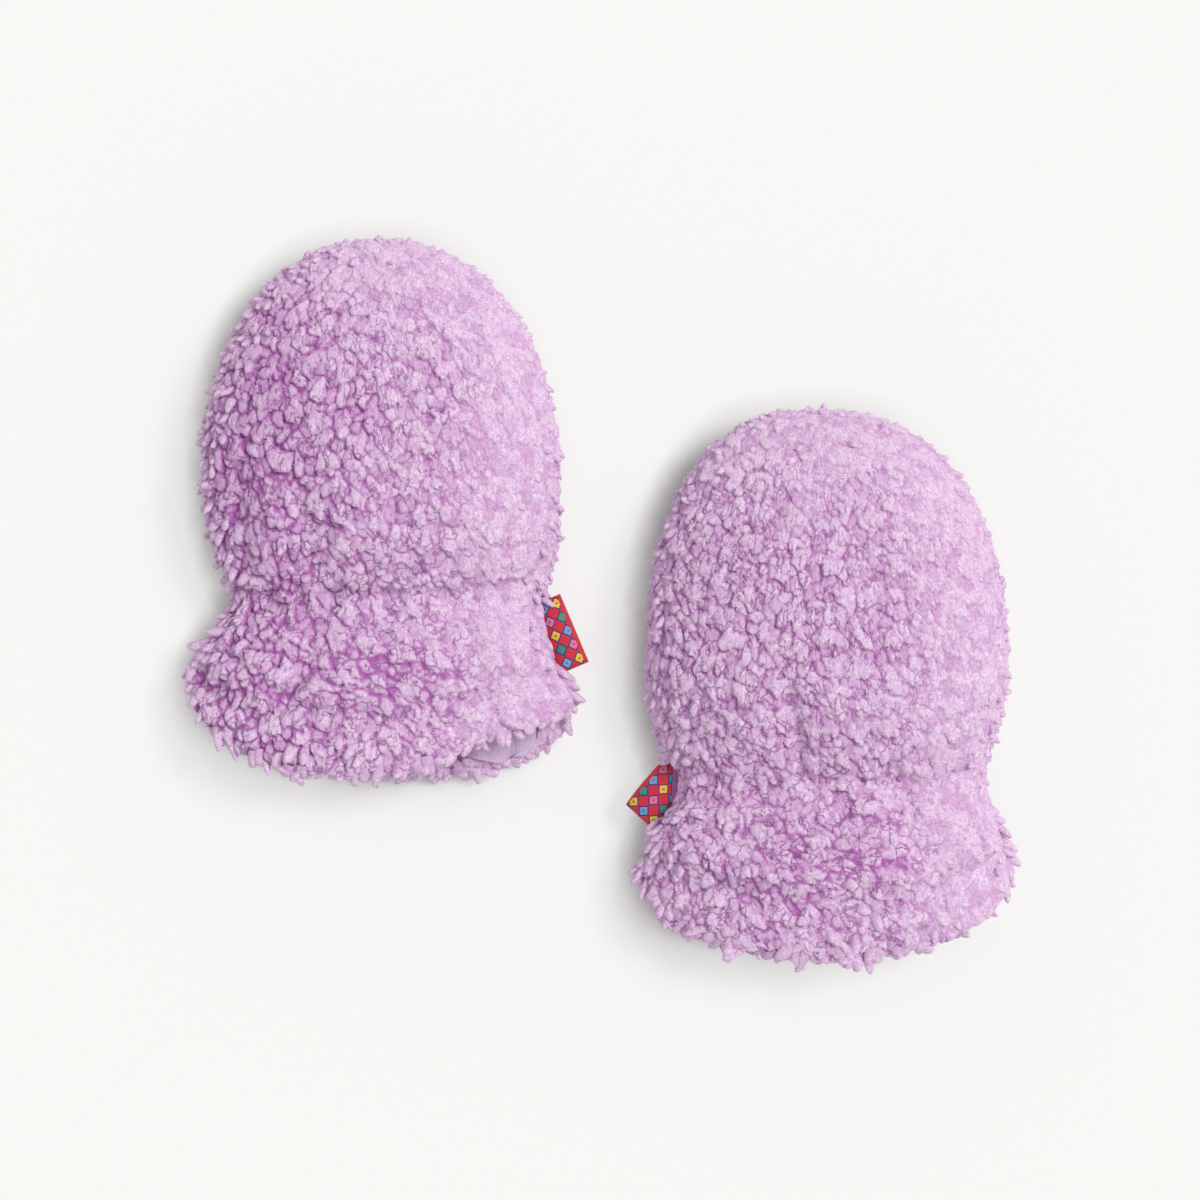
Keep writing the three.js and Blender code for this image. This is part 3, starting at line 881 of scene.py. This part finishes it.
def edge_tufts(mitten, cells, seed):
    """Pointed locks all round the outline, long ones at the hem."""
    rng = np.random.default_rng(seed + 70)
    places, normals, along = cells["places"], cells["normals"], cells["along"]
    down = mitten["fingertips"][1] - places[:, 1]
    edge = np.clip(1.5 - 1.7 * np.abs(normals[:, 2]), 0, 1)
    hem = np.clip((down - mitten["crease"]) / 8, 0, 1) * np.clip(0.4 - normals[:, 1], 0, 1)
    chance = np.clip(0.9 * edge + 0.6 * hem, 0, 0.9) * (normals[:, 2] > -0.75)
    chance = chance * (bare_share(mitten, places) < 0.35) * (mouth_share(mitten, places) == 0)
    chosen = rng.random(len(places)) < chance
    places, normals, along, edge, hem = (v[chosen] for v in (places, normals, along, edge, hem))
    wild = rng.random(len(places))
    cuff = edge * np.clip((down[chosen] - mitten["crease"] + 30) / 10, 0, 1) * (hem < 0.3)
    length = 2.1 + 1.6 * wild**2 + 1.5 * cuff * (0.3 + wild) + 2.2 * hem * (0.4 + 0.6 * wild)
    width = 1.9 + 1.1 * rng.random(len(places)) + 0.7 * cuff + 1.4 * hem * rng.random(len(places))
    stand = 0.5 + 0.25 * edge - 0.3 * hem
    ways = unit(normals * stand[:, None] + along + 0.25 * rng.normal(size=places.shape))
    roots = places - 0.9 * normals
    if mitten["hanging"]:
        starts, tips, widths = (np.array(v, float) for v in zip(*mitten["hanging"]))
        ends = tips - starts
        roots = np.concatenate([roots, starts])
        ways = np.concatenate([ways, unit(ends)])
        normals = np.concatenate([normals, np.tile([0.0, 0.0, 1.0], (len(starts), 1))])
        length = np.concatenate([length, np.linalg.norm(ends, axis=1)])
        width = np.concatenate([width, widths])
    points, share, faces = finger_tufts(rng, roots, ways, normals, length, width)
    return points, share, faces, roots


def add_pile(side, material):
    """One mitten's pile, a piece for each panel."""
    fleece = settings().fleece
    mitten = MITTENS[side]
    seed = 11 + 100 * list(MITTENS).index(side)
    corners, normals, triangles, panel = mitten_surface(side)
    cells = cells_of(mitten, corners, normals, triangles, seed)
    corners, normals, triangles, panel = refined(corners, normals, triangles, panel, fleece.detail / MM)
    used, same = np.unique(triangles, return_inverse=True)
    corners, normals, triangles = corners[used], normals[used], same.reshape(-1, 3)
    own, out, lead, within = lock_relief(mitten, corners, cells, seed)
    edge = np.clip(edge_distance(corners, triangles, 3.0) / 2.5, 0, 1)
    thick = thick_and_lit_share(mitten, corners)
    shaded = 1 / (1 + np.exp((corners[:, 0] - mitten["fingertips"][0] + 15) / 6))
    # How far the pile is parted, which deepens its creases and the shade painted into them
    parted_and_shaded = 1 - 0.6 * thick + 0.35 * crimp_share(mitten, corners) + mitten["parted_and_shaded"] * shaded
    high = 0.95 * parted_and_shaded * (out - 1) + (0.18 * lead + cells["rise"][own]) * within
    high = high - 1.0 * parted_and_shaded * (1 - np.sqrt(cells["inside"][own]))
    high = high + 0.35 + 0.05 * drift(corners, 1.3, seed) - fold_depth(side, corners)
    high = high - 1.7 * bare_share(mitten, corners)
    high = high * edge - 2.6 * (1 - edge)
    high = high - 3.2 * mouth_share(mitten, corners)
    slide = 0.45 * np.clip(out, 0, 1) + 0.14 * lead * within
    along = comb_of(mitten, corners, normals, seed)
    points = corners + normals * high[:, None] + along * (slide * edge)[:, None]
    hand = 1 / (1 + np.exp((mitten["fingertips"][1] - corners[:, 1] - 90) / 5))
    # tint: random tone, raised at the lit right and fingertips as painted light, and lowered on the left mitten's
    # shaded upper left as painted shade
    tint = 0.5 * cells["tint"][own] + 0.5 * thick - mitten["parted_and_shaded"] * shaded * hand
    inside = cells["inside"][own]
    tuft_points, share, tuft_faces, roots = edge_tufts(mitten, cells, seed)
    nearest = tree_of(corners[triangles].mean(1))
    tuft_panel = panel[[nearest.find(root)[1] for root in roots]]
    each = tuft_points.shape[1]
    face_panel = np.repeat(tuft_panel, len(tuft_faces) // len(roots))
    all_points = pressed(np.concatenate([points, tuft_points.reshape(-1, 3)]))
    all_faces = np.concatenate([triangles, tuft_faces + len(points)])
    all_panels = np.concatenate([panel, face_panel])
    # Painted shade: 1 on the lock tops, falling into the creases and to 0 at the open seam edge, and on the tufts
    # from 1 at the tip to half at the root
    shade = np.clip(1 - parted_and_shaded * (1 - out), 0, 1) * edge
    shade = np.concatenate([shade, (0.5 + 0.5 * np.clip(share, 0, 1)).ravel()])
    # The tufts are painted paler at the lit right and fingertips, as painted light, and at random
    tuft_tint_and_light = 0.5 * np.random.default_rng(seed + 90).random(len(roots)) + 0.5 * thick_and_lit_share(mitten, roots)
    tint = np.concatenate([tint, np.repeat(tuft_tint_and_light, each)])
    inside = np.concatenate([inside, np.ones(len(roots) * each)])
    values = np.stack([shade, tint, inside], axis=1)
    # How much shade is painted along the lobes' borders: less at the lit right and fingertips, more across the
    # cuff's middle, little on the tufts
    creased = np.clip(1 - 0.8 * thick + 0.5 * crimp_share(mitten, corners), 0, 1.3)
    creased = np.concatenate([creased, np.full(len(roots) * each, 0.15)])
    grain = grain_of(mitten, all_points)
    for number, word in enumerate(("back", "palm")):
        faces = all_faces[all_panels == number]
        kept, same = np.unique(faces, return_inverse=True)
        if not 1000 < len(faces) < TRIANGLES_AT_MOST:
            raise RuntimeError(f"the {side} {word} would have {len(faces)} triangles")
        name = f"{side}_{word}_pile"
        piece = mesh_piece(name, all_points[kept], same.reshape(-1, 3), material)
        piece.data.attributes.new("pile", "FLOAT_VECTOR", "POINT").data.foreach_set("vector", values[kept].ravel())
        piece.data.attributes.new("creased", "FLOAT", "POINT").data.foreach_set("value", creased[kept])
        piece.data.attributes.new("grain", "FLOAT_VECTOR", "POINT").data.foreach_set("vector", grain[kept].ravel())
        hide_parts(f"{side}_{word}_panel")


def pressed(points):
    """The points with what would go through the surface below pressed flat on it."""
    low = points[..., 2] < REST
    points[..., 2] = np.where(low, REST * np.exp(np.minimum(points[..., 2], REST) / REST - 1), points[..., 2])
    return points


# The operators


class MITTENS_OT_pile(bpy.types.Operator):
    """The pile of both mittens, tuft by tuft"""

    bl_idname = "baby_mittens.pile"
    bl_label = "Pile"

    def execute(self, context):
        material = pile_material()
        for side in MITTENS:
            add_pile(side, material)
        return {"FINISHED"}


class MITTENS_OT_backings(bpy.types.Operator):
    """The knitted grounds that the pile stands on"""

    bl_idname = "baby_mittens.backings"
    bl_label = "Fleece backings"

    def execute(self, context):
        material = backing_material()
        for side in MITTENS:
            for panel in ("back", "palm"):
                add_backing(side, panel, material)
        return {"FINISHED"}


def add_backing(side, panel, material):
    """A panel's ground: the panel's own wall, with its outer side let down under the pile."""
    node = f"{side}_{panel}_panel"
    corners, triangles = node_mesh(node)
    every, _, _, _ = mitten_surface(side)
    tree = BVHTree.FromPolygons([Vector(c) for c in corners], triangles.tolist())
    both = [node_mesh(f"{side}_{word}_panel") for word in ("back", "palm")]
    whole = np.concatenate([c for c, _ in both])
    joined = np.concatenate([both[0][1], both[1][1] + len(both[0][0])])
    tree = BVHTree.FromPolygons([Vector(c) for c in whole], joined.tolist())
    outer = outer_triangles(corners, triangles, tree)
    normals = corner_normals(corners, triangles[outer])
    lowered = corners - 2.6 * normals
    piece = mesh_piece(f"{side}_{panel}_backing", lowered, triangles, material)
    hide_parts(node)


class MITTENS_OT_linings(bpy.types.Operator):
    """The jersey linings"""

    bl_idname = "baby_mittens.linings"
    bl_label = "Linings"

    def execute(self, context):
        material = lining_material()
        for side in MITTENS:
            for panel in ("back", "palm"):
                node = f"{side}_{panel}_lining"
                corners, triangles = node_mesh(node)
                if panel == "palm":
                    corners = drawn_out(MITTENS[side], corners)
                piece = mesh_piece(f"{side}_{panel}_jersey", corners, triangles, material)
                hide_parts(node)
        return {"FINISHED"}


class MITTENS_OT_tabs(bpy.types.Operator):
    """The folded ribbons in the side seams"""

    bl_idname = "baby_mittens.tabs"
    bl_label = "Side tabs"

    def execute(self, context):
        material = ribbon_material()
        for side, mitten in MITTENS.items():
            tab = mitten["tab"]
            corners, triangles = node_mesh(f"{side}_side_tab")
            turn = math.radians(tab["turn"])
            pointing = np.array([math.cos(turn), math.sin(turn), 0.0])
            sideways = np.array([-math.sin(turn), math.cos(turn), 0.0])
            away = corners - np.array(tab["middle"])
            weave = np.stack([away @ sideways + settings().tab.width / MM / 2, -away @ pointing, away[:, 2]], axis=1)
            piece = mesh_piece(f"{side}_tab_ribbon", corners, triangles, material)
            piece.data.attributes.new("weave", "FLOAT_VECTOR", "POINT").data.foreach_set("vector", weave.ravel())
            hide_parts(f"{side}_side_tab")
        return {"FINISHED"}


class MITTENS_OT_studio(bpy.types.Operator):
    """The floor, the light and the camera"""

    bl_idname = "baby_mittens.studio"
    bl_label = "Studio"

    def execute(self, context):
        studio = settings().studio
        add_floor(studio)
        add_light(studio)
        add_camera(studio)
        return {"FINISHED"}


def add_floor(studio):
    """A wide plain floor, its far edge out of sight, glowing evenly, with a soft shadow painted into its glow beside
    the mittens.
    """
    material, tree, shader = new_material("floor", 0.9)
    place = new_node(tree, "ShaderNodeTexCoord").outputs["Object"]
    grain = noise(tree, place, 400.0, 2.0)
    shade = tuple(0.985 * c for c in studio.floor_colour)
    tree.links.new(mixed(tree, grain, shade, studio.floor_colour), shader.inputs["Base Color"])
    shader.inputs["Specular IOR Level"].default_value = 0.1
    # Painted shadow: the glow is dimmed where the mittens stand between the floor and the key light's side, so a
    # soft shadow is painted to their left
    towards = new_node(tree, "ShaderNodeCombineXYZ", {0: 0.9, 1: -0.1, 2: 0.45}).outputs[0]
    inputs = {"Distance": 12.5 * MM, "Normal": towards}
    open_share = new_node(tree, "ShaderNodeAmbientOcclusion", inputs, samples=4).outputs["AO"]
    shader.inputs["Emission Color"].default_value = (1, 0.993, 0.975, 1)
    glow = calculated(tree, "MULTIPLY", mapped(tree, open_share, 0.33, 0.95), studio.floor_glow)
    tree.links.new(glow, shader.inputs["Emission Strength"])
    reach = 6.0
    mesh = bpy.data.meshes.new("floor")
    mesh.from_pydata([(-reach, -reach, 0), (reach, -reach, 0), (reach, reach, 0), (-reach, reach, 0)], [], [(0, 1, 2, 3)])
    mesh.materials.append(material)
    floor = bpy.data.objects.new("floor", mesh)
    bpy.context.scene.collection.objects.link(floor)


def add_light(studio):
    """A broad soft key from the upper right, and pale light from all round."""
    scene = bpy.context.scene
    key = bpy.data.lights.new("key", "SUN")
    key.energy = studio.key
    key.angle = math.radians(18)
    key.color = (1.0, 0.99, 0.975)
    lamp = bpy.data.objects.new("key", key)
    lamp.location = (0.6, 0.4, 1.0)
    lamp.rotation_euler = Vector((0.62, 0.3, 1.0)).to_track_quat("Z", "Y").to_euler()
    scene.collection.objects.link(lamp)
    world = bpy.data.worlds.new("studio")
    world.use_nodes = True
    background = world.node_tree.nodes["Background"]
    background.inputs["Color"].default_value = (1.0, 0.998, 1.0, 1)
    background.inputs["Strength"].default_value = studio.fill
    scene.world = world
    scene.view_settings.view_transform = "Standard"


def add_camera(studio):
    """A long lens that looks straight down."""
    camera = bpy.data.cameras.new("camera")
    camera.lens = studio.lens
    camera.sensor_width = 36.0
    seen = bpy.data.objects.new("camera", camera)
    middle_height = 15 * MM
    distance = studio.frame_width * studio.lens / camera.sensor_width
    seen.location = (0, -0.4 * MM, middle_height + distance)
    bpy.context.scene.collection.objects.link(seen)
    bpy.context.scene.camera = seen


class MITTENS_PT_panel(bpy.types.Panel):
    """The pieces of the pair and their settings"""

    bl_label = "Baby mittens"
    bl_space_type = "VIEW_3D"
    bl_region_type = "UI"
    bl_category = "Mittens"

    def draw(self, context):
        for operator in OPERATORS:
            self.layout.operator(operator.bl_idname)
        for group in (settings().fleece, settings().lining, settings().tab, settings().studio):
            box = self.layout.box()
            for name in group.__annotations__:
                box.prop(group, name)


OPERATORS = (
    MITTENS_OT_studio,
    MITTENS_OT_pile,
    MITTENS_OT_backings,
    MITTENS_OT_linings,
    MITTENS_OT_tabs,
)
CLASSES = (
    FleeceSettings,
    LiningSettings,
    TabSettings,
    StudioSettings,
    MittenSettings,
    *OPERATORS,
    MITTENS_PT_panel,
)


def register():
    for cls in CLASSES:
        bpy.utils.register_class(cls)
    bpy.types.Scene.baby_mittens = PointerProperty(type=MittenSettings)


def unregister():
    del bpy.types.Scene.baby_mittens
    for cls in reversed(CLASSES):
        bpy.utils.unregister_class(cls)


def main():
    register()
    for operator in OPERATORS:
        _, name = operator.bl_idname.split(".")
        getattr(bpy.ops.baby_mittens, name)()


if __name__ == "__main__":
    main()
